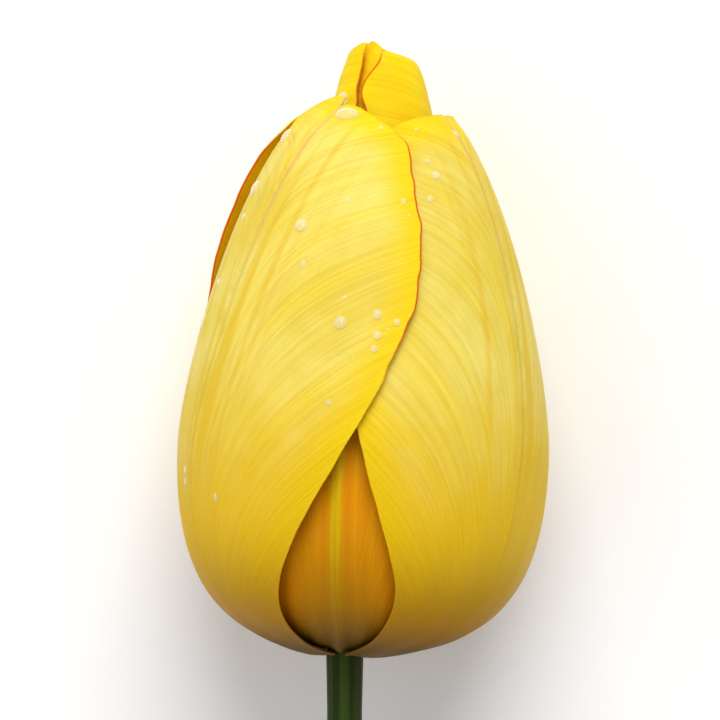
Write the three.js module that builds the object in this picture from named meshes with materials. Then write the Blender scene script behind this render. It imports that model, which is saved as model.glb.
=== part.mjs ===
// A cut tulip lying on its side: six petals in two whorls, a pistil, six stamens and a bare stem.
// Millimetres and degrees. +Y runs from the cut end of the stem to the tip of the bloom, +Z is up,
// and the origin is the centre of the underside of the whole flower's box.
// Inside the flower, places are counted from the top of the stem, where the petals are attached.

import * as THREE from "three";

// Driving dimensions
const OUTER_RADIUS = 24.1;
const OUTER_TOP = new THREE.Vector2(6.3, 73);
const INNER_RADIUS = 21.6;
const INNER_TOP = new THREE.Vector2(4.3, 80.2);
const PETAL_THICKNESS = 0.5;
const SPIRAL_LIFT = 0.52;
const FLARE = 0.8;
const INMOST_LIFT = -1.2;
const BLOOM_LEAN = 2.4;
const BLOOM_SHIFT = 1.1;
const CONE_SHIFT = 1;
const BELLY_FLAT = 0.8;
const STEM_LENGTH = 130;
const STEM_TOP_RADIUS = 2.5;
const STEM_WAIST_RADIUS = 2.3;
const STEM_CUT_RADIUS = 3.1;
const STEM_SIDEWAYS = 8;
const STEM_TOP_HEIGHT = 1.5;
const PISTIL_HEIGHT = 22;
const PISTIL_BASE_HEIGHT = 2.6;
const FILAMENT_LENGTH = 11;
const ANTHER_LENGTH = 12;
const STAMEN_COUNT = 6;
const STAMEN_RADIUS = 4.1;
const STAMEN_RISE = 1.7;
const STAMEN_LEAN = 10;
const AXIS_HEIGHT = OUTER_RADIUS - BELLY_FLAT;
const FLOWER_PLACE = new THREE.Vector3(-2.4, 25.4, AXIS_HEIGHT);

// How finely the curved bodies are divided
const PLAIN_GRID = { rows: 17, columns: 12 };
const WRAPPED_GRID = { rows: 28, columns: 18 };
const STEM_RINGS = 26;
const STEM_SIDES = 12;
const PISTIL_SIDES = 18;
const STAMEN_SIDES = 8;

const radians = THREE.MathUtils.degToRad;
const smoothstep = THREE.MathUtils.smoothstep;

const petalSkin = new THREE.MeshStandardMaterial({ color: "#f2dc4a", roughness: 0.55, metalness: 0 });
const innerSkin = new THREE.MeshStandardMaterial({ color: "#f5cf12", roughness: 0.5, metalness: 0 });
const stemSkin = new THREE.MeshStandardMaterial({ color: "#4c6b2b", roughness: 0.5, metalness: 0 });
const pistilSkin = new THREE.MeshStandardMaterial({ color: "#b9c46a", roughness: 0.6, metalness: 0 });
const filamentSkin = new THREE.MeshStandardMaterial({ color: "#e3d36b", roughness: 0.6, metalness: 0 });
const antherSkin = new THREE.MeshStandardMaterial({ color: "#3d3220", roughness: 0.85, metalness: 0 });

// A whorl's profile is the line from the top of the stem out round the belly to the tip,
// given as distance from the bloom's axis and height above the stem.
function profile(controlPoints) {
  const path = new THREE.CurvePath();
  for (let i = 0; i + 3 < controlPoints.length; i += 3) {
    const [a, b, c, d] = controlPoints.slice(i, i + 4);
    path.add(new THREE.CubicBezierCurve(a, b, c, d));
  }
  return path;
}

const vec2 = (x, y) => new THREE.Vector2(x, y);

const outerProfile = profile([
  vec2(2.9, -0.3),
  vec2(19.3, 1.2),
  vec2(OUTER_RADIUS, 10.2),
  vec2(OUTER_RADIUS, 26.4),
  vec2(OUTER_RADIUS, 34.2),
  vec2(17.4, 67.4),
  OUTER_TOP,
]);

const innerProfile = profile([
  vec2(3.1, 0.8),
  vec2(17.8, 2.2),
  vec2(INNER_RADIUS, 11.5),
  vec2(INNER_RADIUS, 26.4),
  vec2(INNER_RADIUS, 37),
  vec2(16, 57),
  vec2(8.2, 67.2),
  vec2(7, 68.8),
  vec2(5.7, 73.6),
  INNER_TOP,
]);

// A petal's outline, from its foot to its tip. Each station holds the length along the profile,
// half the petal's width there, and the turn of its midline about the bloom's axis in degrees.
const outerOutline = [
  [0, 2.2, 0],
  [2.6, 5, 1],
  [5.5, 6.4, 1],
  [11, 8.3, 2.5],
  [20, 13.2, 3],
  [31, 20, 4.5],
  [42, 24.9, 7.5],
  [53, 26.4, 11.5],
  [63, 24.6, 15.5],
  [73, 19, 21],
  [80.5, 12.7, 28],
  [85.5, 6.6, 35],
  [87.6, 2.8, 39],
  [88.2, 0.3, 40],
];

// The lowest petal's foot is wider, and closes the bloom underneath.
const underOuterOutline = [
  [0, 2.2, 0],
  [2.6, 5, 1],
  [5.5, 7.4, 1],
  [11, 9.6, 2.5],
  ...outerOutline.slice(4),
];

const rightOuterOutline = [
  [0, 2.2, 0],
  [2.6, 4.7, -3],
  [5.5, 6.3, -4],
  [11, 8.7, -3],
  [20, 13.4, 1.5],
  [31, 20.2, 4],
  [42, 24.9, 7],
  [53, 26.4, 11],
  [63, 24.8, 13.5],
  [72, 20.4, 14.5],
  [78, 16.3, 15],
  [82.5, 11.4, 14.5],
  [84.9, 5.6, 14],
  [85.5, 0.3, 14],
];

const frontInnerOutline = [
  [0, 2.9, 0],
  [3, 6.6, 0],
  [6, 8.5, 0],
  [10, 11.2, 0],
  [21, 16.2, 0],
  [35, 21.5, 0],
  [50, 23.2, 0],
  [62, 20, 0],
  [72, 14.5, -2],
  [80, 9.5, -4],
  [86, 6, -8],
  [90.1, 3.2, -16],
  [91.9, 1.5, -23],
  [92.6, 0.3, -25],
];

const leftInnerOutline = [
  [0, 2.4, 0],
  [10, 7.6, 0],
  [21, 14, 0],
  [35, 21.5, 0],
  [50, 23.4, 0],
  [62, 21, 0],
  [72, 17.5, 0],
  [80, 13.4, -2],
  [85, 10.4, 0],
  [88, 5.5, 36],
  [90.4, 2.3, 66],
  [92, 0.3, 92],
];

const rightInnerOutline = [
  [0, 2.4, 0],
  [10, 7.6, 0],
  [21, 14, 0],
  [35, 21.5, 0],
  [50, 23.4, -2],
  [62, 21.5, -8],
  [72, 18, -15],
  [80, 14.4, -14],
  [85, 12.3, -26],
  [88, 8.2, -44],
  [89.7, 5, -66],
  [90.8, 1.6, -100],
  [91.2, 0.3, -112],
];

// The point of a whorl's surface at a length along its profile and an angle about the bloom's
// axis, counted from the upper side towards +X, lifted along the surface's normal.
function bloomPoint(whorl, length, angle, lift) {
  const along = Math.min(length / whorl.profile.getLength(), 1);
  const spot = whorl.profile.getPoint(along);
  const tangent = whorl.profile.getTangent(along);
  const radius = spot.x + lift * tangent.y;
  const height = spot.y - lift * tangent.x;
  const side = radius * Math.sin(angle);
  const lean = radians(BLOOM_LEAN);
  const shift = BLOOM_SHIFT * smoothstep(length, 0, 12) + whorl.coneShift * smoothstep(height, 60, 72);
  return new THREE.Vector3(
    side * Math.cos(lean) + height * Math.sin(lean) + shift,
    height * Math.cos(lean) - side * Math.sin(lean),
    radius * Math.cos(angle),
  );
}

// Two matching grids of points become one closed body: outside, inside, and the rim between them.
function sheetGeometry(outside, inside) {
  const rows = outside.length;
  const columns = outside[0].length;
  const points = [...outside.flat(), ...inside.flat()];
  const index = (side, row, column) => (side * rows + row) * columns + column;
  const faces = [];
  for (let row = 0; row + 1 < rows; row += 1) {
    for (let column = 0; column + 1 < columns; column += 1) {
      for (const side of [0, 1]) {
        const a = index(side, row, column);
        const b = index(side, row, column + 1);
        const c = index(side, row + 1, column + 1);
        const d = index(side, row + 1, column);
        faces.push(...(side === 0 ? [a, b, c, a, c, d] : [a, c, b, a, d, c]));
      }
    }
  }
  const rim = [];
  for (let column = 0; column < columns - 1; column += 1) rim.push([0, column]);
  for (let row = 0; row < rows - 1; row += 1) rim.push([row, columns - 1]);
  for (let column = columns - 1; column > 0; column -= 1) rim.push([rows - 1, column]);
  for (let row = rows - 1; row > 0; row -= 1) rim.push([row, 0]);
  rim.forEach(([row, column], i) => {
    const [nextRow, nextColumn] = rim[(i + 1) % rim.length];
    const a = index(0, row, column);
    const b = index(0, nextRow, nextColumn);
    const c = index(1, nextRow, nextColumn);
    const d = index(1, row, column);
    faces.push(a, c, b, a, d, c);
  });
  return closedGeometry(points, faces);
}

// A row of matching rings of points becomes one closed body with a flat cap at each end.
function loftGeometry(rings) {
  const sides = rings[0].length;
  const points = rings.flat();
  const faces = [];
  for (let ring = 0; ring + 1 < rings.length; ring += 1) {
    for (let side = 0; side < sides; side += 1) {
      const next = (side + 1) % sides;
      const a = ring * sides + side;
      const b = ring * sides + next;
      const c = b + sides;
      const d = a + sides;
      faces.push(a, b, c, a, c, d);
    }
  }
  const last = (rings.length - 1) * sides;
  for (let side = 1; side + 1 < sides; side += 1) {
    faces.push(0, side + 1, side);
    faces.push(last, last + side, last + side + 1);
  }
  return closedGeometry(points, faces);
}

function closedGeometry(points, faces) {
  const geometry = new THREE.BufferGeometry().setFromPoints(points);
  geometry.setIndex(faces);
  geometry.computeVertexNormals();
  return geometry;
}

function namedMesh(name, geometry, material) {
  const mesh = new THREE.Mesh(geometry, material.clone());
  mesh.name = name;
  return mesh;
}

// A petal is a thin sheet on its whorl. Its lift off the whorl's surface may change across it,
// so that each margin passes over or under the next petal, and the lowest petal is pressed flat
// where the flower rests on it.
function petal(name, whorl, outline, baseAngle, liftAt, material, divisions = PLAIN_GRID) {
  const stations = new THREE.CatmullRomCurve3(outline.map((s) => new THREE.Vector3(...s)), false, "catmullrom");
  const skins = [0.5, -0.5].map((side) => {
    const grid = [];
    for (let row = 0; row <= divisions.rows; row += 1) {
      const { x: length, y: halfWidth, z: turn } = stations.getPoint(row / divisions.rows);
      const radius = whorl.profile.getPoint(Math.min(length / whorl.profile.getLength(), 1)).x;
      grid.push([]);
      for (let column = 0; column <= divisions.columns; column += 1) {
        const across = (2 * column) / divisions.columns - 1;
        const swing = (across * halfWidth) / radius;
        const lift = liftAt(across, swing, length) + side * PETAL_THICKNESS;
        const point = bloomPoint(whorl, length, radians(baseAngle + turn) + swing, lift);
        point.z = Math.max(point.z, -AXIS_HEIGHT + (0.5 - side) * PETAL_THICKNESS);
        grid[row].push(point);
      }
    }
    return grid;
  });
  return namedMesh(name, sheetGeometry(...skins), material);
}

// Each outer petal lies over the next one on the side its midline turns to, and under the last.
const spiralLift = (across, swing, length) => SPIRAL_LIFT * swing * smoothstep(length, 3, 25);

// The petal underneath also stands off from its neighbour along the upper part of one margin.
function flaredLift(across, swing, length) {
  const margin = smoothstep(across, 0.72, 1);
  const stretch = smoothstep(length, 55, 68) * (1 - smoothstep(length, 76, 86));
  return spiralLift(across, swing, length) + FLARE * margin * stretch;
}

// The right inner petal starts level with its neighbours in front and is tucked in behind.
const tuckedLift = (across, swing, length) => (-0.45 - 0.55 * across) * smoothstep(length, 10, 40);

// The left inner petal lies over both of its neighbours.
const overLift = () => 0.1;

// The front inner petal lies inside both of its neighbours, but fills out below them.
const inmostLift = (across, swing, length) => INMOST_LIFT * smoothstep(length, 20, 48);

function petals() {
  const outer = { profile: outerProfile, coneShift: 0 };
  const inner = { profile: innerProfile, coneShift: CONE_SHIFT };
  return [
    petal("outer_petal_left", outer, outerOutline, -69, spiralLift, petalSkin),
    petal("outer_petal_right", outer, rightOuterOutline, 51, spiralLift, petalSkin),
    petal("outer_petal_under", outer, underOuterOutline, 171, flaredLift, petalSkin),
    petal("inner_petal_front", inner, frontInnerOutline, -8, inmostLift, innerSkin),
    petal("inner_petal_left", inner, leftInnerOutline, -128, overLift, innerSkin, WRAPPED_GRID),
    petal("inner_petal_right", inner, rightInnerOutline, 112, tuckedLift, innerSkin, WRAPPED_GRID),
  ];
}

// Rings of points square to a path, each with its own radius.
function tubeRings(path, count, sides, radiusAt) {
  const frames = path.computeFrenetFrames(count, false);
  const rings = [];
  for (let i = 0; i <= count; i += 1) {
    const centre = path.getPointAt(i / count);
    const radius = radiusAt(i / count);
    const ring = [];
    for (let side = 0; side < sides; side += 1) {
      const angle = (2 * Math.PI * side) / sides;
      ring.push(
        centre
          .clone()
          .addScaledVector(frames.normals[i], radius * Math.cos(angle))
          .addScaledVector(frames.binormals[i], radius * Math.sin(angle)),
      );
    }
    rings.push(ring);
  }
  return rings;
}

// The stem leaves the bloom straight, then sinks to the surface that the flower lies on.
function stem() {
  const drop = AXIS_HEIGHT - STEM_CUT_RADIUS;
  const path = new THREE.CubicBezierCurve3(
    new THREE.Vector3(0, STEM_TOP_HEIGHT, 0),
    new THREE.Vector3(0, -0.45 * STEM_LENGTH, 0),
    new THREE.Vector3(-0.3 * STEM_SIDEWAYS, -0.62 * STEM_LENGTH, -drop),
    new THREE.Vector3(-STEM_SIDEWAYS, -STEM_LENGTH, -drop),
  );
  const waist = 0.07;
  const radiusAt = (along) =>
    along < waist
      ? THREE.MathUtils.lerp(STEM_TOP_RADIUS, STEM_WAIST_RADIUS, along / waist)
      : THREE.MathUtils.lerp(STEM_WAIST_RADIUS, STEM_CUT_RADIUS, (along - waist) / (1 - waist));
  return namedMesh("stem", loftGeometry(tubeRings(path, STEM_RINGS, STEM_SIDES, radiusAt)), stemSkin);
}

// Three rounded angles below and three spreading lobes on top, grown as one piece.
// Each station holds the share of the height, the radius and the depth of the three lobes.
function pistil() {
  const stations = [
    [0, 1.9, 0],
    [0.08, 2.5, 0.04],
    [0.35, 3.1, 0.08],
    [0.6, 2.9, 0.1],
    [0.78, 2.3, 0.1],
    [0.84, 2.6, 0.16],
    [0.9, 3.7, 0.24],
    [0.96, 3.9, 0.26],
    [1, 2.6, 0.26],
  ];
  const rings = stations.map(([share, radius, lobes]) => {
    const ring = [];
    for (let side = 0; side < PISTIL_SIDES; side += 1) {
      const angle = (2 * Math.PI * side) / PISTIL_SIDES;
      const reach = radius * (1 + lobes * Math.cos(3 * angle));
      ring.push(new THREE.Vector3(reach * Math.sin(angle), share * PISTIL_HEIGHT, reach * Math.cos(angle)));
    }
    return ring;
  });
  const mesh = namedMesh("pistil", loftGeometry(rings), pistilSkin);
  mesh.position.y = PISTIL_BASE_HEIGHT;
  return mesh;
}

// An upright body with an oval section. Each station holds its height, half width and half depth.
function ovalBody(stations) {
  const rings = stations.map(([height, halfWidth, halfDepth]) => {
    const ring = [];
    for (let side = 0; side < STAMEN_SIDES; side += 1) {
      const angle = (2 * Math.PI * side) / STAMEN_SIDES;
      ring.push(new THREE.Vector3(halfWidth * Math.sin(angle), height, halfDepth * Math.cos(angle)));
    }
    return ring;
  });
  return loftGeometry(rings);
}

function stamen(number) {
  const group = new THREE.Group();
  const filament = namedMesh(
    `filament_${number}`,
    ovalBody([
      [0, 0.9, 0.5],
      [0.25 * FILAMENT_LENGTH, 1.1, 0.6],
      [0.7 * FILAMENT_LENGTH, 0.7, 0.5],
      [FILAMENT_LENGTH, 0.3, 0.3],
    ]),
    filamentSkin,
  );
  const anther = namedMesh(
    `anther_${number}`,
    ovalBody([
      [0, 0.7, 0.4],
      [0.08 * ANTHER_LENGTH, 1.3, 0.8],
      [0.5 * ANTHER_LENGTH, 1.4, 0.9],
      [0.9 * ANTHER_LENGTH, 1.1, 0.7],
      [ANTHER_LENGTH, 0.4, 0.3],
    ]),
    antherSkin,
  );
  anther.position.y = FILAMENT_LENGTH + 0.3;
  group.add(filament, anther);
  return group;
}

// The stamens stand round the pistil and spread a little towards the petals.
function stamens() {
  const ring = [];
  for (let number = 1; number <= STAMEN_COUNT; number += 1) {
    const leaning = new THREE.Group();
    leaning.add(stamen(number));
    leaning.position.set(0, PISTIL_BASE_HEIGHT + STAMEN_RISE, STAMEN_RADIUS);
    leaning.rotation.x = radians(STAMEN_LEAN);
    const turned = new THREE.Group();
    turned.add(leaning);
    turned.rotation.y = (2 * Math.PI * (number - 1)) / STAMEN_COUNT;
    ring.push(turned);
  }
  return ring;
}

const heart = new THREE.Group();
heart.add(pistil(), ...stamens());
heart.rotation.z = -radians(BLOOM_LEAN);

const flower = new THREE.Group();
flower.add(...petals(), stem(), heart);
flower.position.copy(FLOWER_PLACE);

const tulip = new THREE.Group();
tulip.add(flower);

export default tulip;
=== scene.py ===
"""A cut tulip lying on a pale surface, seen from above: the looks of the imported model's petals,
stem, pistil and stamens, and the water drops on them. Lengths are in millimetres until a mesh is
made, and angles in degrees until they are used."""

import math

import bpy
import numpy as np
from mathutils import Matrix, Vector


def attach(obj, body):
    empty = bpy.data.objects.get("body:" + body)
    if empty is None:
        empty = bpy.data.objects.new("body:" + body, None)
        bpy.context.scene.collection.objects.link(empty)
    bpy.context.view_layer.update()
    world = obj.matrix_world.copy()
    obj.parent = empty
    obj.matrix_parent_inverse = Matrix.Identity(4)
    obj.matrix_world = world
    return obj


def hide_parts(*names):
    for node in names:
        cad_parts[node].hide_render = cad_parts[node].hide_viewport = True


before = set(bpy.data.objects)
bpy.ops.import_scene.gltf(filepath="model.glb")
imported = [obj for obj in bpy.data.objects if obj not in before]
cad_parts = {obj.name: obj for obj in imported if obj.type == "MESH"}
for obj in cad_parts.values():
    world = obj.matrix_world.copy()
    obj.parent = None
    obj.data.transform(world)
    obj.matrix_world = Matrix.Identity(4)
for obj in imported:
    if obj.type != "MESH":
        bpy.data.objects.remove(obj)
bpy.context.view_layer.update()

MM = 0.001

# The flower's own dimensions, as in the CAD model. Places in the flower are counted from the top
# of the stem: +Y towards the tip, +Z up.
OUTER_RADIUS = 24.1
INNER_RADIUS = 21.6
BLOOM_LEAN = 2.4
BLOOM_SHIFT = 1.1
CONE_SHIFT = 1.0
SPIRAL_LIFT = 0.52
FLARE = 0.8
INMOST_LIFT = -1.2
OVER_LIFT = 0.1
BELLY_FLAT = 0.8
AXIS_HEIGHT = OUTER_RADIUS - BELLY_FLAT
FLOWER_PLACE = np.array([-2.4, 25.4, AXIS_HEIGHT])
STEM_LENGTH = 130.0
STEM_TOP_RADIUS = 2.5
STEM_WAIST_RADIUS = 2.3
STEM_WAIST_SHARE = 0.07
STEM_CUT_RADIUS = 3.1
STEM_SIDEWAYS = 8.0
STEM_TOP_HEIGHT = 1.5
PISTIL_HEIGHT = 22.0
PISTIL_BASE_HEIGHT = 2.6
FILAMENT_LENGTH = 11.0
ANTHER_LENGTH = 12.0
ANTHER_GAP = 0.3
STAMEN_COUNT = 6
STAMEN_RADIUS = 4.1
STAMEN_RISE = 1.7
STAMEN_LEAN = 10.0

# Thickness of a petal: at its foot, over its blade and at its margin
FOOT_THICKNESS = 1.0
BLADE_THICKNESS = 0.46
MARGIN_THICKNESS = 0.2

# How far from the foot and from the margin a petal reaches the thickness of its blade
FOOT_TAPER = 16
MARGIN_TAPER = 3.5

# Where the bloom's shift comes in along a petal, and the cone's shift up the bloom
BLOOM_SHIFT_LENGTHS = (0, 12)
CONE_SHIFT_HEIGHTS = (60, 72)

# Fineness of the curves and meshes
PROFILE_STEPS = 400
VEIN_STEPS = 600
PETAL_ROWS, PETAL_COLUMNS = 150, 110
STEM_STEPS, STEM_SIDES = 201, 72
DROP_RINGS, DROP_SIDES = 11, 32
MARGIN_CHUNKS = 12

OUTER_PROFILE = [
    (2.9, -0.3), (19.3, 1.2), (OUTER_RADIUS, 10.2), (OUTER_RADIUS, 26.4),
    (OUTER_RADIUS, 34.2), (17.4, 67.4), (6.3, 73.0),
]
INNER_PROFILE = [
    (3.1, 0.8), (17.8, 2.2), (INNER_RADIUS, 11.5), (INNER_RADIUS, 26.4),
    (INNER_RADIUS, 37.0), (16.0, 57.0), (8.2, 67.2),
    (7.0, 68.8), (5.7, 73.6), (4.3, 80.2),
]

# Each station of an outline holds the length along the profile, half the petal's width there and
# the turn of its midline about the bloom's axis.
OUTER_OUTLINE = [
    (0, 2.2, 0), (2.6, 5, 1), (5.5, 6.4, 1), (11, 8.3, 2.5), (20, 13.2, 3),
    (31, 20, 4.5), (42, 24.9, 7.5), (53, 26.4, 11.5), (63, 24.6, 15.5), (73, 19, 21),
    (80.5, 12.7, 28), (85.5, 6.6, 35), (87.6, 2.8, 39), (88.2, 0.3, 40),
]
# The lowest petal's foot is wider, and closes the bloom underneath.
UNDER_OUTER_OUTLINE = [(0, 2.2, 0), (2.6, 5, 1), (5.5, 7.4, 1), (11, 9.6, 2.5)] + OUTER_OUTLINE[4:]
RIGHT_OUTER_OUTLINE = [
    (0, 2.2, 0), (2.6, 4.7, -3), (5.5, 6.3, -4), (11, 8.7, -3), (20, 13.4, 1.5),
    (31, 20.2, 4), (42, 24.9, 7), (53, 26.4, 11), (63, 24.8, 13.5), (72, 20.4, 14.5),
    (78, 16.3, 15), (82.5, 11.4, 14.5), (84.9, 5.6, 14), (85.5, 0.3, 14),
]
FRONT_INNER_OUTLINE = [
    (0, 2.9, 0), (3, 6.6, 0), (6, 8.5, 0), (10, 11.2, 0), (21, 16.2, 0),
    (35, 21.5, 0), (50, 23.2, 0), (62, 20, 0), (72, 14.5, -2), (80, 9.5, -4),
    (86, 6, -8), (90.1, 3.2, -16), (91.9, 1.5, -23), (92.6, 0.3, -25),
]
LEFT_INNER_OUTLINE = [
    (0, 2.4, 0), (10, 7.6, 0), (21, 14, 0), (35, 21.5, 0), (50, 23.4, 0), (62, 21, 0),
    (72, 17.5, 0), (80, 13.4, -2), (85, 10.4, 0), (88, 5.5, 36), (90.4, 2.3, 66), (92, 0.3, 92),
]
RIGHT_INNER_OUTLINE = [
    (0, 2.4, 0), (10, 7.6, 0), (21, 14, 0), (35, 21.5, 0), (50, 23.4, -2), (62, 21.5, -8),
    (72, 18, -15), (80, 14.4, -14), (85, 12.3, -26), (88, 8.2, -44), (89.7, 5, -66),
    (90.8, 1.6, -100), (91.2, 0.3, -112),
]

# How sharply veins bend outwards at each length along a petal
BEND_LENGTHS = [0, 15, 30, 42, 53, 65, 78, 90]
BENDS = [0.2, 0.3, 0.5, 0.9, 1.5, 3, 5.5, 8]
# Sets the vein lines of a petal's two halves apart.
HALF_OFFSET = 200.0

# The waves of a petal's margin, and the step between the seeds of its two sides
WAVELENGTHS = (23.0, 11.0, 5.3, 2.9)
WAVE_STRENGTHS = (0.12, 0.14, 0.09, 0.05)
OTHER_SIDE = 50

# The stem's ribs and the furrow along its top, as shares of its radius
STEM_RIBS = 11
STEM_RIB_DEPTH = 0.012
STEM_FURROW_DEPTH = 0.02
STEM_FURROW_ANGLE = 0.12
# Rings of the dished cut end: share of the stem's radius, depth, and share of the cut's colour
CUT_RINGS = [(0.985, -0.12, 0.4), (0.9, -0.16, 1), (0.6, 0.08, 1), (0.3, 0.2, 1), (0.05, 0.22, 1)]

# Share of the pistil's height, its radius there and the depth of its three lobes
PISTIL_SHAPE = [
    (0, 1.9, 0), (0.08, 2.5, 0.04), (0.35, 3.1, 0.08), (0.6, 2.9, 0.1), (0.78, 2.3, 0.1),
    (0.84, 2.6, 0.16), (0.9, 3.7, 0.24), (0.96, 3.9, 0.26), (1, 2.6, 0.26),
]
# Share of a filament's or an anther's length, half its width there and half its depth
FILAMENT_SHAPE = [(0, 0.9, 0.5), (0.25, 1.1, 0.6), (0.7, 0.7, 0.5), (1, 0.3, 0.3)]
ANTHER_SHAPE = [(0, 0.7, 0.4), (0.08, 1.3, 0.8), (0.5, 1.4, 0.9), (0.9, 1.1, 0.7), (1, 0.4, 0.3)]

# Drops by petal: place to the side and up the bloom, radius, and how drawn out each one is
DROPS = {
    "outer_petal_left": [
        (-5.3, 54.7, 0.85, 1.0), (-0.4, 42.5, 0.8, 1.1), (4.1, 43.7, 0.62, 1.15),
        (4.1, 41.1, 0.6, 1.0), (3.7, 39.4, 0.48, 1.1), (6.5, 42.8, 0.45, 1.1),
        (5.4, 41.9, 0.2, 1.0), (0.1, 45.7, 0.26, 1.3), (0.5, 58.1, 0.3, 1.4),
        (-5.0, 49.8, 0.35, 1.8), (7.4, 58.1, 0.35, 1.2), (8.0, 56.4, 0.2, 1.0),
        (4.6, 67.6, 0.3, 1.0), (-1.8, 32.5, 0.38, 1.1), (-20.3, 23.0, 0.42, 1.2),
        (-20.3, 21.6, 0.36, 1.5), (-16.1, 19.9, 0.34, 1.9), (-18.3, 42.5, 0.7, 1.2),
        (-16.2, 47.4, 0.5, 1.1), (-13.0, 56.0, 0.5, 1.0), (-11.5, 59.8, 0.95, 1.2),
        (-7.6, 66.8, 0.85, 1.3), (0.4, 69.3, 1.55, 0.62),
    ],
    "inner_petal_left": [(-0.2, 71.3, 1.15, 1.3)],
    "outer_petal_right": [
        (10.7, 63.9, 0.38, 1.0), (11.8, 62.1, 0.6, 1.0), (11.0, 59.0, 0.45, 1.1),
        (14.2, 67.7, 0.55, 1.2), (14.5, 58.0, 0.22, 1.0), (9.3, 68.1, 0.2, 1.0),
    ],
}
# A drop's dome: how steep and how full it is, how deep its skirt goes and how far it sinks in
DROP_STEEPNESS = 0.55
DROP_FULLNESS = 0.6
DROP_SKIRT = 0.08
DROP_SINK = 0.02

# The view and the studio, in metres
VIEW_CENTRE = (-0.0004, 0.0635, AXIS_HEIGHT * MM)
VIEW_HEIGHT = 0.0944
LENS = 200
SENSOR_WIDTH = 36
FLOOR_HALF = 3.0
LIGHT_TARGET = (0, 0.06, 0.02)
SKY_STRENGTH = 0.5


def smoothstep(value, low, high):
    t = np.clip((value - low) / (high - low), 0, 1)
    return t * t * (3 - 2 * t)


def bezier(points, t):
    """Points of a cubic Bezier curve at the parameters t."""
    a, b, c, d = (np.array(p, float) for p in points)
    t = np.asarray(t)[:, None]
    return (1 - t) ** 3 * a + 3 * (1 - t) ** 2 * t * b + 3 * (1 - t) * t * t * c + t**3 * d


def spline(points, t):
    """Points of a uniform Catmull-Rom curve through points, at the parameters t from 0 to 1."""
    p = np.array(points, float)
    p = np.vstack([2 * p[0] - p[1], p, 2 * p[-1] - p[-2]])
    place = np.asarray(t) * (len(points) - 1)
    span = np.clip(place.astype(int), 0, len(points) - 2)
    s = (place - span)[:, None]
    p0, p1, p2, p3 = p[span], p[span + 1], p[span + 2], p[span + 3]
    m1, m2 = (p2 - p0) / 2, (p3 - p1) / 2
    s2, s3 = s * s, s * s * s
    return (
        (2 * s3 - 3 * s2 + 1) * p1 + (s3 - 2 * s2 + s) * m1
        + (3 * s2 - 2 * s3) * p2 + (s3 - s2) * m2
    )


def leaned(side, height):
    """A place in the bloom's upright plane, turned by the bloom's lean."""
    lean = math.radians(BLOOM_LEAN)
    return (
        side * math.cos(lean) + height * math.sin(lean),
        height * math.cos(lean) - side * math.sin(lean),
    )


class Whorl:
    """A surface of revolution that a whorl of petals lies on, leaning with the bloom."""

    def __init__(self, control_points, cone_shift):
        steps = np.linspace(0, 1, PROFILE_STEPS)
        starts = range(0, len(control_points) - 3, 3)
        parts = [bezier(control_points[i:i + 4], steps) for i in starts]
        line = np.vstack([parts[0]] + [part[1:] for part in parts[1:]])
        self.lengths = np.r_[0, np.cumsum(np.linalg.norm(np.diff(line, axis=0), axis=1))]
        self.line = line
        self.tangent = np.gradient(line, self.lengths, axis=0)
        self.cone_shift = cone_shift

    def radius(self, length):
        return np.interp(length, self.lengths, self.line[:, 0])

    def shift(self, length, height):
        """How far the whorl stands to the side there: the bloom as a whole, and its cone."""
        bloom = BLOOM_SHIFT * smoothstep(length, *BLOOM_SHIFT_LENGTHS)
        return bloom + self.cone_shift * smoothstep(height, *CONE_SHIFT_HEIGHTS)

    def point(self, length, angle, lift):
        """Where a length along the profile, an angle from the top towards +X and a lift lead."""
        spot = [np.interp(length, self.lengths, self.line[:, k]) for k in (0, 1)]
        tangent = [np.interp(length, self.lengths, self.tangent[:, k]) for k in (0, 1)]
        radius = spot[0] + lift * tangent[1]
        height = spot[1] - lift * tangent[0]
        side, up = leaned(radius * np.sin(angle), height)
        return np.stack([side + self.shift(length, height), up, radius * np.cos(angle)], axis=-1)


OUTER = Whorl(OUTER_PROFILE, 0.0)
INNER = Whorl(INNER_PROFILE, CONE_SHIFT)


def new_object(name, points, faces, attributes=None):
    """A mesh object from points in the flower's own place, in millimetres."""
    mesh = bpy.data.meshes.new(name)
    places = (np.asarray(points) + FLOWER_PLACE) * MM
    mesh.from_pydata(places.tolist(), [], [tuple(int(i) for i in f) for f in faces])
    for key, values in (attributes or {}).items():
        layer = mesh.attributes.new(key, "FLOAT", "POINT")
        layer.data.foreach_set("value", np.asarray(values, np.float32).ravel())
    mesh.shade_smooth()
    mesh.validate()
    obj = bpy.data.objects.new(name, mesh)
    bpy.context.scene.collection.objects.link(obj)
    return obj


def grid_faces(rows, columns, start=0, flip=False):
    """Quads of a grid of points stored row by row."""
    r, c = np.meshgrid(np.arange(rows - 1), np.arange(columns - 1), indexing="ij")
    a = (start + r * columns + c).ravel()
    quads = np.stack([a, a + 1, a + columns + 1, a + columns], axis=1)
    return quads[:, ::-1] if flip else quads


def rim_faces(rows, columns):
    """Quads that join the edges of two matching grids, the second stored after the first."""
    loop = [c for c in range(columns - 1)]
    loop += [r * columns + columns - 1 for r in range(rows - 1)]
    loop += [(rows - 1) * columns + c for c in range(columns - 1, 0, -1)]
    loop += [r * columns for r in range(rows - 1, 0, -1)]
    loop = np.array(loop)
    after = np.roll(loop, -1)
    back = rows * columns
    return np.stack([loop, loop + back, after + back, after], axis=1)


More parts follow.
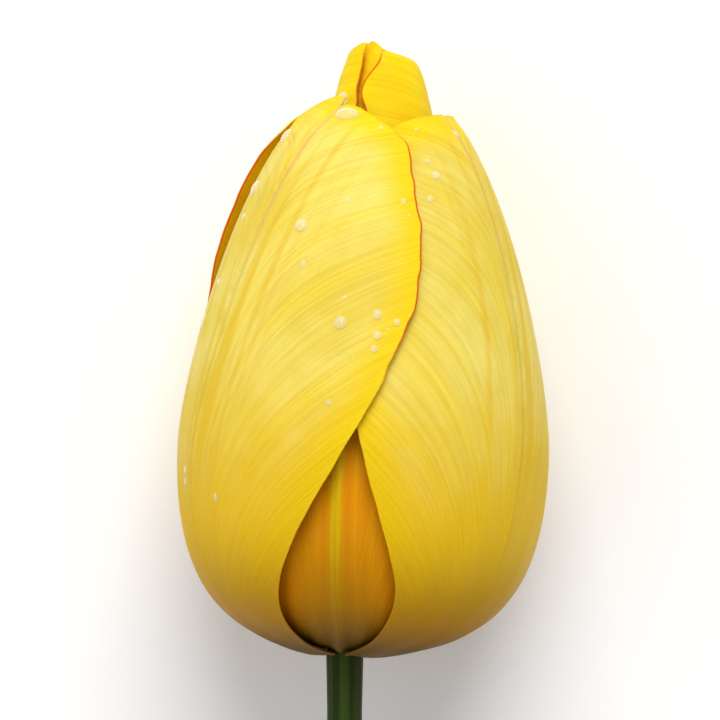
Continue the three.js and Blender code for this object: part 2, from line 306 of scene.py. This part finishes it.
def tube_faces(count, sides):
    """Faces of a tube of rings stored one after another, with a cap at each end."""
    ring, side = np.meshgrid(np.arange(count - 1), np.arange(sides), indexing="ij")
    a = (ring * sides + side).ravel()
    b = (ring * sides + (side + 1) % sides).ravel()
    faces = np.stack([a, b, b + sides, a + sides], axis=1).tolist()
    faces.append(list(range(sides - 1, -1, -1)))
    faces.append(list(range((count - 1) * sides, count * sides)))
    return faces


def distance_to_margin(points):
    """Distance from each point of a grid to the nearest point of its side and tip edges."""
    margin = np.vstack([points[:, 0], points[:, -1], points[-1]])
    flat = points.reshape(-1, 3)
    nearest = np.full(len(flat), np.inf)
    for chunk in np.array_split(margin, MARGIN_CHUNKS):
        gaps = np.linalg.norm(flat[:, None] - chunk[None], axis=2).min(axis=1)
        nearest = np.minimum(nearest, gaps)
    return nearest.reshape(points.shape[:2])


def vein_line(length, across, outline):
    """Names the vein through a place by the length at which it reaches the margin. Veins leave
    the midrib at a narrow angle low down and bend outwards to meet the margin squarely near the
    tip."""
    stations = spline(outline, np.linspace(0, 1, VEIN_STEPS))
    bend = np.interp(stations[:, 0], BEND_LENGTHS, BENDS)
    rate = bend / np.maximum(stations[:, 1], 2.5)
    steps = np.diff(stations[:, 0], prepend=stations[0, 0])
    reach = np.cumsum(np.maximum(steps, 1e-4) * rate)
    value = np.interp(length, stations[:, 0], reach) - np.log(np.clip(np.abs(across), 0.035, 1))
    inside = np.interp(value, reach, stations[:, 0])
    beyond = np.maximum(value - reach[-1], 0) / rate[-1]
    return inside + beyond


def waver(length, seed):
    """A small irregular wave along a margin, calmer along its lower part."""
    phases = np.random.RandomState(seed).uniform(0, 2 * math.pi, len(WAVELENGTHS))
    calm = 0.25 + 0.75 * smoothstep(length, 42, 52)
    waves = zip(WAVELENGTHS, WAVE_STRENGTHS, phases)
    return calm * sum(s * np.sin(2 * math.pi * length / w + p) for w, s, p in waves)


class Petal:
    """One petal's fine mesh: a sheet on its whorl with a tapering thickness."""

    def __init__(self, node, whorl, outline, base_angle, lift, seed, relief, notch):
        rows, columns = PETAL_ROWS, PETAL_COLUMNS
        self.whorl = whorl
        self.base_angle = base_angle
        self.lift = lift
        self.stations = spline(outline, np.linspace(0, 1, rows))
        length, half_width, turn = (
            np.tile(self.stations[:, k:k + 1], (1, columns)) for k in range(3)
        )
        # Columns stand closer together towards the margins.
        s = np.linspace(-1, 1, columns)
        across = np.tile(s * (1.3 - 0.3 * s * s), (rows, 1))
        fade = smoothstep(length, 8, 30) * smoothstep(half_width, 0.3, 6)
        sides = np.where(across < 0, waver(length, seed), waver(length, seed + OTHER_SIDE))
        half_width = half_width + sides * fade * smoothstep(np.abs(across), 0.3, 1)
        length = length - notch * smoothstep(across, -0.32, -0.2) * smoothstep(length, 79, 87)
        swing = across * half_width / whorl.radius(length)
        angle = np.radians(base_angle + turn) + swing
        lifted = lift(across, swing, length)
        edge = distance_to_margin(whorl.point(length, angle, lifted))
        width = across * half_width
        lifted = lifted + relief(width, length, edge)
        foot = 1 - smoothstep(length, 0, FOOT_TAPER)
        blade = BLADE_THICKNESS + (FOOT_THICKNESS - BLADE_THICKNESS) * foot
        inland = smoothstep(edge, 0, MARGIN_TAPER)
        thick = MARGIN_THICKNESS + (blade - MARGIN_THICKNESS) * inland
        skins = []
        for side in (0.5, -0.5):
            skin = whorl.point(length, angle, lifted + side * thick)
            # The belly lies flat on the surface under the flower.
            floor = -AXIS_HEIGHT + (0.5 - side) * thick
            skin[..., 2] = np.maximum(skin[..., 2], floor)
            skins.append(skin.reshape(-1, 3))
        faces = np.vstack([
            grid_faces(rows, columns),
            grid_faces(rows, columns, rows * columns, flip=True),
            rim_faces(rows, columns),
        ])
        vein = vein_line(length, across, outline) + np.where(across < 0, HALF_OFFSET, 0.0)
        values = {"vein": vein, "along": length, "across": width, "edge": edge}
        attributes = {key: np.tile(value.ravel(), 2) for key, value in values.items()}
        attributes["outside"] = np.repeat([1.0, 0.0], rows * columns)
        name = node.replace("_petal", "") + "_petal_blade"
        self.object = new_object(name, np.vstack(skins), faces, attributes)

    def surface_frame(self, sideways, height, extra):
        """The point, normal and upward direction of the outer surface, raised by extra, at a
        place to the side and up the bloom as seen from above."""
        length = np.interp(height, self.whorl.line[:, 1], self.whorl.lengths)
        lean = height * math.sin(math.radians(BLOOM_LEAN))
        side = (sideways - self.whorl.shift(length, height) - lean) / self.whorl.radius(length)
        angle = math.asin(np.clip(side, -0.985, 0.985))

        def at(distance, around):
            turn = np.interp(distance, self.stations[:, 0], self.stations[:, 2])
            swing = around - math.radians(self.base_angle + turn)
            lifted = self.lift(0.0, swing, distance) + BLADE_THICKNESS / 2 + extra
            return self.whorl.point(np.float64(distance), np.float64(around), lifted)

        here = at(length, angle)
        east = at(length, angle + 0.01) - here
        north = at(length + 0.1, angle) - here
        normal = np.cross(east, north)
        return here, normal / np.linalg.norm(normal), north / np.linalg.norm(north)


def spiral_lift(across, swing, length):
    """An outer petal's right margin lies over its neighbour, and its left margin under one."""
    return SPIRAL_LIFT * swing * smoothstep(length, 3, 25)


def flared_lift(across, swing, length):
    """As spiral_lift, with the right margin standing off in its upper part."""
    margin = smoothstep(across, 0.72, 1.0)
    stretch = smoothstep(length, 55, 68) * (1 - smoothstep(length, 76, 86))
    return spiral_lift(across, swing, length) + FLARE * margin * stretch


def over_lift(across, swing, length):
    """The inner petal that lies over the other two."""
    return np.full_like(np.asarray(swing, float), OVER_LIFT)


def tucked_lift(across, swing, length):
    """The inner petal that is tucked in more and more towards its right margin."""
    return (-0.45 - 0.55 * across) * smoothstep(length, 10, 40)


def inmost_lift(across, swing, length):
    """The inner petal that lies under the other two."""
    return INMOST_LIFT * smoothstep(length, 20, 48)


def outer_relief(width, length, edge):
    """A shallow groove along the midrib, soft pleats beside it and a slightly raised margin."""
    groove = -0.26 * np.exp(-(width / 0.55) ** 2) * smoothstep(length, 30, 60)
    keel = 0.16 * np.exp(-(width / 2.2) ** 2) * smoothstep(length, 20, 50)
    pleats = 0.05 * np.sin(width * 1.15 + 0.05 * length) * np.exp(-(width / 12) ** 2)
    lip = 0.1 * np.exp(-edge / 0.7)
    return groove + keel + pleats + lip


def inner_relief(width, length, edge):
    """A raised midrib with soft ribs beside it, as the shaded petal shows."""
    midrib = 0.38 * np.exp(-(width / 0.75) ** 2) * (1 - smoothstep(length, 55, 75))
    fade = 1 - smoothstep(length, 60, 80)
    ribs = 0.07 * np.cos(width * 2.1) * np.exp(-(width / 9) ** 2) * fade
    return midrib + ribs


def soft_relief(width, length, edge):
    """Very shallow pleats."""
    return 0.05 * np.sin(width * 0.9 + 0.08 * length)


# ---------------------------------------------------------------- materials


class Shader:
    """A small helper that adds nodes to a material and links what it is given."""

    def __init__(self, name):
        self.material = bpy.data.materials.new(name)
        self.material.use_nodes = True
        self.tree = self.material.node_tree
        self.surface = self.tree.nodes["Principled BSDF"]

    def put(self, socket, value):
        if isinstance(value, bpy.types.NodeSocket):
            self.tree.links.new(value, socket)
        elif isinstance(value, bpy.types.Node):
            self.tree.links.new(value.outputs[0], socket)
        else:
            socket.default_value = value

    def add(self, kind, inputs=None, **settings):
        node = self.tree.nodes.new(kind)
        for key, value in settings.items():
            setattr(node, key, value)
        for key, value in (inputs or {}).items():
            self.put(node.inputs[key], value)
        return node

    def attribute(self, name):
        return self.add("ShaderNodeAttribute", attribute_name=name).outputs["Fac"]

    def math(self, operation, *values):
        node = self.add("ShaderNodeMath", operation=operation)
        for i, value in enumerate(values):
            self.put(node.inputs[i], value)
        return node.outputs[0]

    def ramp(self, value, low, high, out_low=0.0, out_high=1.0):
        """Maps value from low..high to out_low..out_high, smoothly and clamped."""
        return self.add("ShaderNodeMapRange", {
            "Value": value, "From Min": low, "From Max": high,
            "To Min": out_low, "To Max": out_high,
        }, interpolation_type="SMOOTHSTEP").outputs[0]

    def mix(self, factor, a, b, blend="MIX"):
        """Mixes colours a and b, through the sockets that the node keeps for colours."""
        sockets = {0: factor, 6: a, 7: b}
        return self.add("ShaderNodeMix", sockets, data_type="RGBA", blend_type=blend).outputs[2]

    def tint(self, factor, colour, tone):
        """Colour, going over to its product with tone as factor rises."""
        return self.mix(factor, colour, self.mix(1.0, colour, tone, "MULTIPLY"))

    def combine(self, x, y, z):
        return self.add("ShaderNodeCombineXYZ", {"X": x, "Y": y, "Z": z}).outputs[0]

    def noise(self, vector, scale=1.0, detail=2.0, roughness=0.5):
        inputs = {"Vector": vector, "Scale": scale, "Detail": detail, "Roughness": roughness}
        return self.add("ShaderNodeTexNoise", inputs).outputs["Fac"]

    def set(self, **values):
        """Sets the surface's own inputs, named with underscores for spaces."""
        for key, value in values.items():
            self.put(self.surface.inputs[key.replace("_", " ")], value)


# Petals
PALE = (0.84, 0.69, 0.165, 1)
GREYED = (0.77, 0.59, 0.085, 1)
BRIGHT = (0.88, 0.63, 0.011, 1)
DEEP = (0.75, 0.45, 0.009, 1)
GOLD = (0.82, 0.51, 0.005, 1)
# Umber and brown towards a petal's foot: partly its own olive tinge, partly painted shade of the
# bloom's lower end.
UMBER_AND_SHADE = (0.42, 0.185, 0.001, 1)
BROWN_AND_SHADE = (0.13, 0.065, 0.002, 1)
RED = (0.66, 0.10, 0.006, 1)
ROSE = (0.80, 0.50, 0.17, 1)
SUNLIT = (0.93, 0.70, 0.010, 1)
SUNLIT_DEEP = (0.88, 0.57, 0.005, 1)
# Amber and russet: painted shade on the inner petals' lower part.
AMBER_SHADE = (0.78, 0.35, 0.002, 1)
RUSSET_SHADE = (0.74, 0.22, 0.001, 1)
RIB_GREEN = (0.74, 0.47, 0.004, 1)
VEIN_TINT = (0.88, 0.80, 0.40, 1)
HAIR_TINT = (0.88, 0.82, 0.50, 1)
# Stem
STEM_DARK = (0.016, 0.027, 0.004, 1)
STEM_GREEN = (0.035, 0.062, 0.009, 1)
# Painted highlight along the stem's top, facing the light.
STEM_TOP_HIGHLIGHT = (0.05, 0.095, 0.014, 1)
STEM_FLANK = (0.05, 0.036, 0.01, 1)
# Lifts the stem's colour away from the bloom: near it the dark green is painted shadow of the
# bloom.
STEM_OUT_OF_SHADOW_TINT = (2.0, 2.1, 2.6, 1)
PITH_PALE = (0.42, 0.47, 0.2, 1)
PITH_GREEN = (0.26, 0.34, 0.1, 1)
# Organs: two tones of the skin and one of the tip
PISTIL_TONES = ((0.36, 0.46, 0.10, 1), (0.52, 0.60, 0.20, 1), (0.80, 0.72, 0.30, 1))
FILAMENT_TONES = ((0.66, 0.52, 0.12, 1), (0.82, 0.70, 0.26, 1), (0.78, 0.60, 0.16, 1))
ANTHER_TONES = ((0.035, 0.02, 0.025, 1), (0.08, 0.05, 0.05, 1), (0.10, 0.06, 0.04, 1))
GRAIN_TINT = (0.6, 0.6, 0.5, 1)
# Water, floor and sky
# Whitish water: painted reflection of the studio's light.
WATER_REFLECTION_WHITE = (0.97, 0.96, 0.88, 1)
FLOOR_WHITE = (0.95, 0.95, 0.95, 1)
SKY_WHITE = (1, 1, 1, 1)


def lined_noise(sh, name, scale, seed, spread, detail=2.0, roughness=0.55):
    """Noise drawn out into lines that follow the attribute called name."""
    vector = sh.combine(
        sh.math("MULTIPLY", sh.attribute(name), scale),
        sh.math("MULTIPLY", sh.attribute("along"), spread),
        seed,
    )
    return sh.noise(vector, 1.0, detail, roughness)


def outer_colour(sh, edge, along, across, cloud):
    """Pale yellow with deeper bands along the margins, ribs beside the midrib and a rosy crease."""
    broad = lined_noise(sh, "vein", 0.30, 7.0, 0.03)
    ribs = lined_noise(sh, "across", 0.42, 11.0, 0.012)
    colour = sh.mix(sh.ramp(cloud, 0.35, 0.68), PALE, GREYED)
    colour = sh.mix(sh.ramp(broad, 0.42, 0.7, 0.0, 0.4), colour, BRIGHT)
    near_rib = sh.ramp(across, 3.0, 15.0, 1.0, 0.0)
    ribbed = sh.math("MULTIPLY", near_rib, sh.ramp(ribs, 0.46, 0.66, 0.0, 0.55))
    colour = sh.mix(ribbed, colour, DEEP)
    above = sh.ramp(along, 12.0, 34.0, 0.35, 1.0)
    band = sh.math("MULTIPLY", sh.ramp(edge, 0.8, 6.0, 1.0, 0.0), above)
    colour = sh.mix(band, colour, BRIGHT)
    crease = sh.math("MULTIPLY", sh.ramp(across, 0.1, 0.7, 0.6, 0.0), sh.ramp(along, 55.0, 70.0))
    colour = sh.mix(crease, colour, ROSE)
    return sh.mix(sh.ramp(along, 26.0, 54.0, 0.92, 0.0), colour, GOLD)


def inner_colour(sh, edge, along, across, cloud):
    """Deep yellow above; below, painted shade where the outer petals shade the petal: amber with a
    green midrib, russet towards the margins and beside the midrib.
    """
    ribs = lined_noise(sh, "across", 1.1, 5.0, 0.02)
    low = sh.ramp(along, 30.0, 52.0, 1.0, 0.0)
    shaded = sh.mix(sh.ramp(ribs, 0.35, 0.65, 0.0, 0.45), AMBER_SHADE, RUSSET_SHADE)
    # Painted shade, deeper towards the margins that the outer petals overhang.
    flank = sh.math("MULTIPLY", sh.ramp(across, 2.0, 8.0), sh.ramp(along, 8.0, 30.0, 1.0, 0.15))
    shaded = sh.mix(flank, shaded, RUSSET_SHADE)
    midrib = sh.ramp(across, 0.35, 1.1, 1.0, 0.0)
    shaded = sh.mix(midrib, shaded, RIB_GREEN)
    # Painted shade along both sides of the raised midrib.
    beside_rib_shade = sh.math("MULTIPLY", sh.ramp(across, 1.0, 1.5), sh.ramp(across, 1.5, 2.4, 0.55, 0.0))
    shaded = sh.mix(beside_rib_shade, shaded, RUSSET_SHADE)
    sunlit = sh.mix(sh.ramp(cloud, 0.35, 0.7), SUNLIT, SUNLIT_DEEP)
    return sh.mix(low, sunlit, shaded)


def petal_material(name, inner):
    """A satin skin with fine veins, umber then brown towards its foot, partly the petal's own tinge
    and partly painted shade, and red along its upper margin.
    """
    sh = Shader(name)
    edge = sh.attribute("edge")
    along = sh.attribute("along")
    across = sh.math("ABSOLUTE", sh.attribute("across"))
    position = sh.add("ShaderNodeTexCoord").outputs["Object"]
    cloud = sh.noise(position, 90.0, 3.0, 0.5)
    grain = sh.noise(position, 1500.0, 2.0, 0.5)
    veins = lined_noise(sh, "vein", 1.5, 3.0, 0.03, 3.0)
    hairs = lined_noise(sh, "vein", 4.0, 9.0, 0.12)
    colour_of = inner_colour if inner else outer_colour
    colour = colour_of(sh, edge, along, across, cloud)
    colour = sh.mix(sh.attribute("outside"), SUNLIT_DEEP, colour)
    colour = sh.tint(sh.ramp(veins, 0.38, 0.66, 0.0, 0.45), colour, VEIN_TINT)
    colour = sh.tint(sh.ramp(hairs, 0.42, 0.68, 0.0, 0.45), colour, HAIR_TINT)
    # Painted shade mixed with the petal's own tinge: darker umber, then brown, towards the foot.
    low = sh.ramp(along, 12.0, 31.0, 0.95, 0.0)
    if inner:
        low = sh.math("MULTIPLY", low, sh.ramp(across, 1.5, 8.0, 1.0, 0.3))
    colour = sh.mix(low, colour, UMBER_AND_SHADE)
    colour = sh.mix(sh.ramp(along, 6.0, 17.0, 0.95, 0.0), colour, BROWN_AND_SHADE)
    upper_end = (89.5, 91.6) if inner else (78.0, 83.0)
    stretch = sh.math("MULTIPLY", sh.ramp(along, 44.0, 56.0), sh.ramp(along, *upper_end, 1.0, 0.12))
    rim = sh.math("MULTIPLY", sh.ramp(edge, 0.12, 0.32, 1.0, 0.0), stretch)
    colour = sh.mix(rim, colour, RED)
    height = sh.math("ADD", sh.math("MULTIPLY", veins, 0.8), sh.math("MULTIPLY", hairs, 0.35))
    height = sh.math("ADD", height, sh.math("MULTIPLY", grain, 0.12))
    bump = sh.add("ShaderNodeBump", {"Strength": 0.5, "Distance": 0.0002, "Height": height})
    sh.set(Base_Color=colour, Roughness=sh.ramp(cloud, 0.3, 0.7, 0.45, 0.6), Normal=bump)
    sh.set(Subsurface_Weight=0.15, Subsurface_Radius=(0.0018, 0.001, 0.0002), Subsurface_Scale=1.0)
    sh.set(Specular_IOR_Level=0.07)
    return sh.material


def stem_material():
    """Dark green, darkest near the bloom as painted shadow of the bloom, with a painted highlight
    along the top and a brownish flank.
    """
    sh = Shader("stem_skin")
    position = sh.add("ShaderNodeTexCoord").outputs["Object"]
    around = sh.attribute("around")
    fibres = lined_noise(sh, "around", 0.11, 2.0, 0.05, 3.0, 0.6)
    cloud = sh.noise(position, 60.0, 2.0, 0.5)
    colour = sh.mix(sh.ramp(fibres, 0.35, 0.68), STEM_DARK, STEM_GREEN)
    # Painted highlight: lighter green along the top of the stem, where the light falls.
    top_highlight = sh.ramp(sh.math("ABSOLUTE", around), 4.0, 26.0, 0.6, 0.0)
    colour = sh.mix(top_highlight, colour, STEM_TOP_HIGHLIGHT)
    flank = sh.math("MULTIPLY", sh.ramp(around, 22.0, 60.0), sh.ramp(cloud, 0.3, 0.6, 0.35, 0.9))
    colour = sh.mix(flank, colour, STEM_FLANK)
    # Painted shadow of the bloom: darkest near the bloom, lifted by this tint further along.
    colour = sh.tint(sh.ramp(sh.attribute("along"), 8.0, 60.0), colour, STEM_OUT_OF_SHADOW_TINT)
    speckle = sh.noise(position, 2500.0, 3.0, 0.6)
    pith = sh.mix(sh.ramp(speckle, 0.35, 0.7), PITH_PALE, PITH_GREEN)
    colour = sh.mix(sh.attribute("cut"), colour, pith)
    bump = sh.add("ShaderNodeBump", {"Strength": 0.5, "Distance": 0.00015, "Height": fibres})
    sh.set(Base_Color=colour, Roughness=sh.ramp(fibres, 0.3, 0.7, 0.38, 0.55), Normal=bump)
    sh.set(Specular_IOR_Level=0.06)
    return sh.material


def organ_material(name, tones, scale, bump_depth):
    """A fleshy skin: two tones in lines along the organ, a third towards its tip."""
    low, high, tip = tones
    sh = Shader(name)
    position = sh.add("ShaderNodeTexCoord").outputs["Object"]
    lines = lined_noise(sh, "around", 0.12, 4.0, 0.15, 3.0, 0.6)
    grain = sh.noise(position, scale, 3.0, 0.6)
    colour = sh.mix(sh.ramp(lines, 0.35, 0.65), low, high)
    colour = sh.mix(sh.ramp(sh.attribute("share"), 0.72, 0.95), colour, tip)
    colour = sh.tint(sh.ramp(grain, 0.3, 0.7, 0.0, 0.35), colour, GRAIN_TINT)
    bump = sh.add("ShaderNodeBump", {"Strength": 0.6, "Distance": bump_depth, "Height": grain})
    sh.set(Base_Color=colour, Roughness=sh.ramp(grain, 0.3, 0.7, 0.5, 0.75), Normal=bump)
    sh.set(Specular_IOR_Level=0.25)
    return sh.material


def water_material():
    """Clear water, whitish as painted reflection: thin where it is looked straight into, paler at
    its rim.
    """
    sh = Shader("water_skin")
    facing = sh.add("ShaderNodeLayerWeight", {"Blend": 0.35}).outputs["Facing"]
    position = sh.add("ShaderNodeTexCoord").outputs["Object"]
    ripple = sh.noise(position, 700.0, 2.0, 0.5)
    sh.set(Base_Color=WATER_REFLECTION_WHITE, Roughness=sh.ramp(ripple, 0.3, 0.7, 0.03, 0.08))
    sh.set(Alpha=sh.ramp(facing, 0.0, 0.8, 0.22, 0.62), Specular_IOR_Level=0.9)
    return sh.material


def finish_piece(obj, material, slot, *nodes):
    """Gives a piece its material and body, and hides the CAD nodes that it stands for. Its slot is
    not used.
    """
    obj.data.materials.clear()
    obj.data.materials.append(material)
    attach(obj, "root")
    if nodes:
        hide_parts(*nodes)


# ---------------------------------------------------------------- pieces


def make_petals():
    skins = {
        "outer_petal": petal_material("outer_petal_skin", inner=False),
        "inner_petal": petal_material("inner_petal_skin", inner=True),
    }
    # Node, whorl, outline, angle from the top, lift, seed of the margin, relief, notch of the tip
    rows = [
        ("outer_petal_left", OUTER, OUTER_OUTLINE, -69, spiral_lift, 1, outer_relief, 1.9),
        ("outer_petal_right", OUTER, RIGHT_OUTER_OUTLINE, 51, spiral_lift, 2, outer_relief, 0.0),
        ("outer_petal_under", OUTER, UNDER_OUTER_OUTLINE, 171, flared_lift, 3, outer_relief, 0.0),
        ("inner_petal_front", INNER, FRONT_INNER_OUTLINE, -8, inmost_lift, 4, inner_relief, 0.0),
        ("inner_petal_left", INNER, LEFT_INNER_OUTLINE, -128, over_lift, 5, soft_relief, 0.0),
        ("inner_petal_right", INNER, RIGHT_INNER_OUTLINE, 112, tucked_lift, 6, soft_relief, 0.0),
    ]
    made = {}
    for node, whorl, *shape in rows:
        kind = "outer_petal" if whorl is OUTER else "inner_petal"
        made[node] = Petal(node, whorl, *shape)
        finish_piece(made[node].object, skins[kind], kind, node)
    return made


def make_stem():
    """A faintly ribbed stalk that sinks to the surface and ends in a clean cut."""
    drop = AXIS_HEIGHT - STEM_CUT_RADIUS
    line = bezier([
        (0, STEM_TOP_HEIGHT, 0), (0, -0.45 * STEM_LENGTH, 0),
        (-0.3 * STEM_SIDEWAYS, -0.62 * STEM_LENGTH, -drop), (-STEM_SIDEWAYS, -STEM_LENGTH, -drop),
    ], np.linspace(0, 1, STEM_STEPS))
    along = np.r_[0, np.cumsum(np.linalg.norm(np.diff(line, axis=0), axis=1))]
    shares = [0, STEM_WAIST_SHARE, 1]
    radii = [STEM_TOP_RADIUS, STEM_WAIST_RADIUS, STEM_CUT_RADIUS]
    radius = np.interp(along / along[-1], shares, radii)
    tangent = np.gradient(line, along, axis=0)
    side = np.cross(tangent, (0, 0, 1))
    side /= np.linalg.norm(side, axis=1)[:, None]
    up = np.cross(side, tangent)
    turn = np.radians(np.linspace(-180, 180, STEM_SIDES, endpoint=False))
    furrow = STEM_FURROW_DEPTH * np.exp(-(turn / STEM_FURROW_ANGLE) ** 2)
    ridge = 1 - STEM_RIB_DEPTH + STEM_RIB_DEPTH * np.cos(STEM_RIBS * turn) - furrow
    # The stalk's own rings, then the cut end's, which all start from its last place
    rings_of_stalk = np.tile((1, 0, 0), (len(line), 1))
    shrink, inset, cut = np.vstack([rings_of_stalk, CUT_RINGS]).T
    pick = np.r_[np.arange(len(line)), np.full(len(CUT_RINGS), len(line) - 1)]
    centre = line[pick] - inset[:, None] * tangent[pick]
    ring_radius = (radius[pick] * shrink)[:, None, None] * ridge[None, :, None]
    outwards = (
        np.cos(turn)[None, :, None] * up[pick][:, None]
        - np.sin(turn)[None, :, None] * side[pick][:, None]
    )
    rings = centre[:, None] + ring_radius * outwards
    rings[..., 2] = np.maximum(rings[..., 2], -AXIS_HEIGHT)
    attributes = {
        "around": np.tile(np.degrees(turn), len(pick)),
        "along": np.repeat(along[pick], STEM_SIDES),
        "cut": np.repeat(cut, STEM_SIDES),
    }
    faces = tube_faces(len(pick), STEM_SIDES)
    stem = new_object("stem_skinned", rings.reshape(-1, 3), faces, attributes)
    finish_piece(stem, stem_material(), "stem", "stem")


def organ(name, stations, sides, section, place, rings=60):
    """A lofted organ. Each station holds its share of the height, its half width and its half
    depth; section shapes a ring of angles, and place moves finished points into the flower."""
    rows = spline(stations, np.linspace(0, 1, rings))
    turn = np.linspace(0, 2 * math.pi, sides, endpoint=False)
    wide, deep = section(turn, rows[:, :1])
    points = np.stack([
        rows[:, 1:2] * wide, np.broadcast_to(rows[:, :1], (rings, sides)), rows[:, 2:3] * deep,
    ], axis=-1)
    share = rows[:, 0] / rows[-1, 0]
    attributes = {
        "around": np.tile(np.degrees(turn), rings),
        "along": np.repeat(rows[:, 0], sides),
        "share": np.repeat(share, sides),
    }
    spot = place(points.reshape(-1, 3))
    spot[:, 0], spot[:, 1] = leaned(spot[:, 0], spot[:, 1])
    return new_object(name, spot, tube_faces(rings, sides), attributes)


def make_pistil():
    """The three-angled ovary and the three-lobed stigma on it."""
    heights = [share * PISTIL_HEIGHT for share, _, _ in PISTIL_SHAPE]
    depths = [depth for _, _, depth in PISTIL_SHAPE]
    stations = [(height, row[1], row[1]) for height, row in zip(heights, PISTIL_SHAPE)]

    def section(turn, height):
        lobes = np.interp(height, heights, depths)
        frilled = smoothstep(height, 0.86 * PISTIL_HEIGHT, 0.94 * PISTIL_HEIGHT)
        reach = 1 + lobes * np.cos(3 * turn) + 0.02 * np.sin(24 * turn) * frilled
        return reach * np.sin(turn), reach * np.cos(turn)

    def on_stem(points):
        return points + (0, PISTIL_BASE_HEIGHT, 0)

    piece = organ("pistil_grown", stations, 96, section, on_stem)
    skin = organ_material("pistil_skin", PISTIL_TONES, 900.0, 0.0001)
    finish_piece(piece, skin, "pistil", "pistil")


def in_stamen(number, rise):
    """Moves points from a stamen's own place, with its foot at the origin, into the flower."""
    lean = math.radians(STAMEN_LEAN)
    turn = 2 * math.pi * (number - 1) / STAMEN_COUNT

    def place(points):
        x, y, z = points[:, 0], points[:, 1] + rise, points[:, 2]
        height = y * math.cos(lean) - z * math.sin(lean) + PISTIL_BASE_HEIGHT + STAMEN_RISE
        out = y * math.sin(lean) + z * math.cos(lean) + STAMEN_RADIUS
        return np.stack([
            x * math.cos(turn) + out * math.sin(turn),
            height,
            out * math.cos(turn) - x * math.sin(turn),
        ], axis=1)

    return place


def round_section(turn, height):
    return np.sin(turn), np.cos(turn)


def grooved_section(turn, height):
    """Two pollen sacs side by side, with a groove down each face."""
    groove = 1 - 0.38 * np.exp(-(np.sin(turn) / 0.3) ** 2)
    return np.sin(turn), np.cos(turn) * groove


def stretched(shape, length):
    """Stations of an organ of that length."""
    return [(share * length, wide, deep) for share, wide, deep in shape]


def make_stamens():
    filament_skin = organ_material("filament_skin", FILAMENT_TONES, 1200.0, 0.00005)
    anther_skin = organ_material("anther_skin", ANTHER_TONES, 2600.0, 0.0002)
    filament = stretched(FILAMENT_SHAPE, FILAMENT_LENGTH)
    anther = stretched(ANTHER_SHAPE, ANTHER_LENGTH)
    for number in range(1, STAMEN_COUNT + 1):
        place = in_stamen(number, 0)
        piece = organ(f"filament_{number}_grown", filament, 28, round_section, place, 40)
        finish_piece(piece, filament_skin, "filament", f"filament_{number}")
        place = in_stamen(number, FILAMENT_LENGTH + ANTHER_GAP)
        piece = organ(f"anther_{number}_grown", anther, 44, grooved_section, place, 50)
        finish_piece(piece, anther_skin, "anther", f"anther_{number}")


def make_drops(petals):
    """Flattened domes of water, fuller towards the stem, on the petals' outer surfaces."""
    turn = np.linspace(0, 2 * math.pi, DROP_SIDES, endpoint=False)
    reach = np.r_[1.0, np.cos(np.linspace(0, math.pi / 2, DROP_RINGS))]
    rise = np.r_[-1.0, (1 - reach[1:] ** 2) ** DROP_STEEPNESS]
    one_drop = tube_faces(len(reach), DROP_SIDES)
    points, faces = [], []
    rows = [(node, *row) for node, drops in DROPS.items() for row in drops]
    for node, sideways, height, radius, stretch in rows:
        centre, normal, up = petals[node].surface_frame(sideways, height, -DROP_SINK)
        across = np.cross(up, normal)
        sag = 1 - 0.22 * np.sin(turn) * (stretch - 0.6)
        ring = np.cos(turn)[:, None] * sag[:, None] * across
        ring = ring + stretch * np.sin(turn)[:, None] * up
        lift = np.where(rise < 0, -DROP_SKIRT, DROP_FULLNESS * radius * rise)
        dome = centre + radius * np.maximum(reach, 0.02)[:, None, None] * ring[None]
        dome = dome + lift[:, None, None] * normal
        start = len(points) * len(reach) * DROP_SIDES
        faces += [[start + i for i in face] for face in one_drop]
        points.append(dome.reshape(-1, 3))
    drops = new_object("water_drops", np.vstack(points), faces)
    finish_piece(drops, water_material(), "water")


def make_camera():
    """Looks straight down on the bloom, with a long lens and the bloom's tip towards the top."""
    data = bpy.data.cameras.new("camera")
    data.lens = LENS
    data.sensor_width = SENSOR_WIDTH
    camera = bpy.data.objects.new("camera", data)
    distance = VIEW_HEIGHT / data.sensor_width * data.lens
    camera.location = Vector(VIEW_CENTRE) + Vector((0, 0, distance))
    bpy.context.scene.collection.objects.link(camera)
    bpy.context.scene.camera = camera


def add_light(name, place, size, power):
    """A round area light of that diameter and power, turned towards the bloom."""
    data = bpy.data.lights.new(name, "AREA")
    data.shape = "DISK"
    data.size = size
    data.energy = power
    light = bpy.data.objects.new(name, data)
    light.location = place
    light.rotation_mode = "QUATERNION"
    away = Vector(place) - Vector(LIGHT_TARGET)
    light.rotation_quaternion = away.to_track_quat("Z", "Y")
    bpy.context.scene.collection.objects.link(light)


def make_studio():
    """A pale floor, a soft key light from beyond the tip, a weak fill light and an even sky."""
    mesh = bpy.data.meshes.new("floor")
    corners = [(-1, -1), (1, -1), (1, 1), (-1, 1)]
    places = [(x * FLOOR_HALF, y * FLOOR_HALF, 0) for x, y in corners]
    mesh.from_pydata(places, [], [(0, 1, 2, 3)])
    floor = bpy.data.objects.new("floor", mesh)
    bpy.context.scene.collection.objects.link(floor)
    sh = Shader("floor_paint")
    sh.set(Base_Color=FLOOR_WHITE, Roughness=0.9)
    mesh.materials.append(sh.material)
    world = bpy.data.worlds.new("studio")
    world.use_nodes = True
    background = world.node_tree.nodes["Background"]
    background.inputs["Color"].default_value = SKY_WHITE
    background.inputs["Strength"].default_value = SKY_STRENGTH
    bpy.context.scene.world = world
    add_light("key", (0.05, 0.75, 0.75), 0.7, 8.2)
    add_light("fill", (-0.6, -0.1, 0.8), 0.8, 1.6)
    bpy.context.scene.view_settings.view_transform = "Standard"


make_camera()
petals = make_petals()
make_stem()
make_pistil()
make_stamens()
make_drops(petals)
make_studio()
